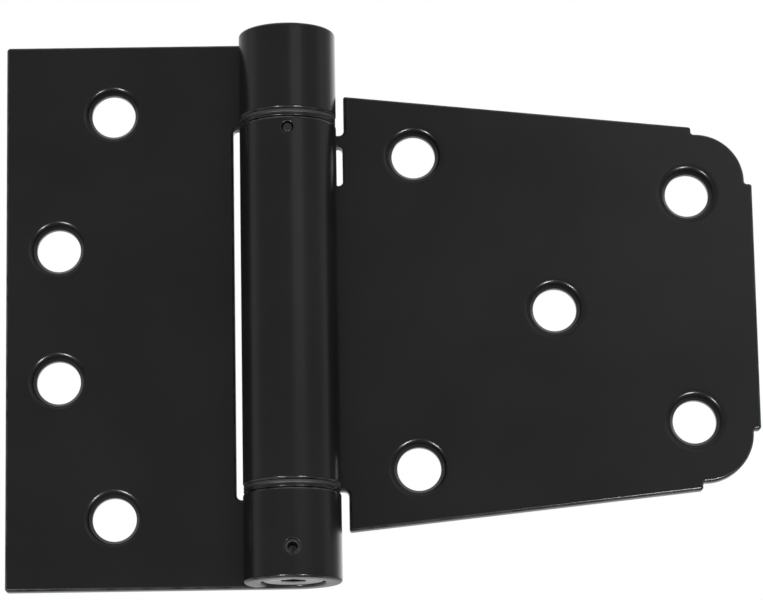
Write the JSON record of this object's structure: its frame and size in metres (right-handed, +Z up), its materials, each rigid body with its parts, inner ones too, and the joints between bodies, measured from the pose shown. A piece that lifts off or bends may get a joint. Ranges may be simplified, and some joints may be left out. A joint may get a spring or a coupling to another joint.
{
  "type": "gate hinge",
  "caption": "Self-closing surface-mount gate hinge: rectangular post leaf, tapered strap gate leaf, rolled knuckles and a torsion spring with a pinned tension adjuster in the barrel.",
  "frame": {"origin": "on the plane of the leaf backs, straight behind the barrel axis, at half the hinge's height", "axes": "+Z up along the barrel axis, +X across the gate leaf away from the post, +Y into the post and gate that the leaves are screwed to"},
  "size_m": [0.1547, 0.0199, 0.1142],
  "materials": {
    "black_coat": "smooth semi-gloss black coating on steel",
    "bush_plastic": "plain black bearing plastic",
    "dark_steel": "turned steel, darkened",
    "spring_steel": "drawn spring wire, oiled"
  },
  "bodies": {
    "post": {"post_leaf": "black_coat", "upper_bearing_bush": "bush_plastic", "upper_thrust_washer": "black_coat", "top_cap": "black_coat", "tension_adjuster": "dark_steel", "tension_pin": "dark_steel", "torsion_spring": "spring_steel"},
    "gate": {"gate_leaf": "black_coat", "spring_anchor": "dark_steel", "anchor_pin": "dark_steel", "lower_bearing_bush": "bush_plastic", "lower_thrust_washer": "black_coat"}
  },
  "joints": [
    {"name": "gate_swing", "type": "hinge", "parent": "post", "child": "gate", "pos_m": [0, -0.00995, 0], "axis": [0, 0, -1], "range_deg": [0, 180], "stiffness_Nm_per_rad": 2, "deforming": ["torsion_spring"]}
  ]
}
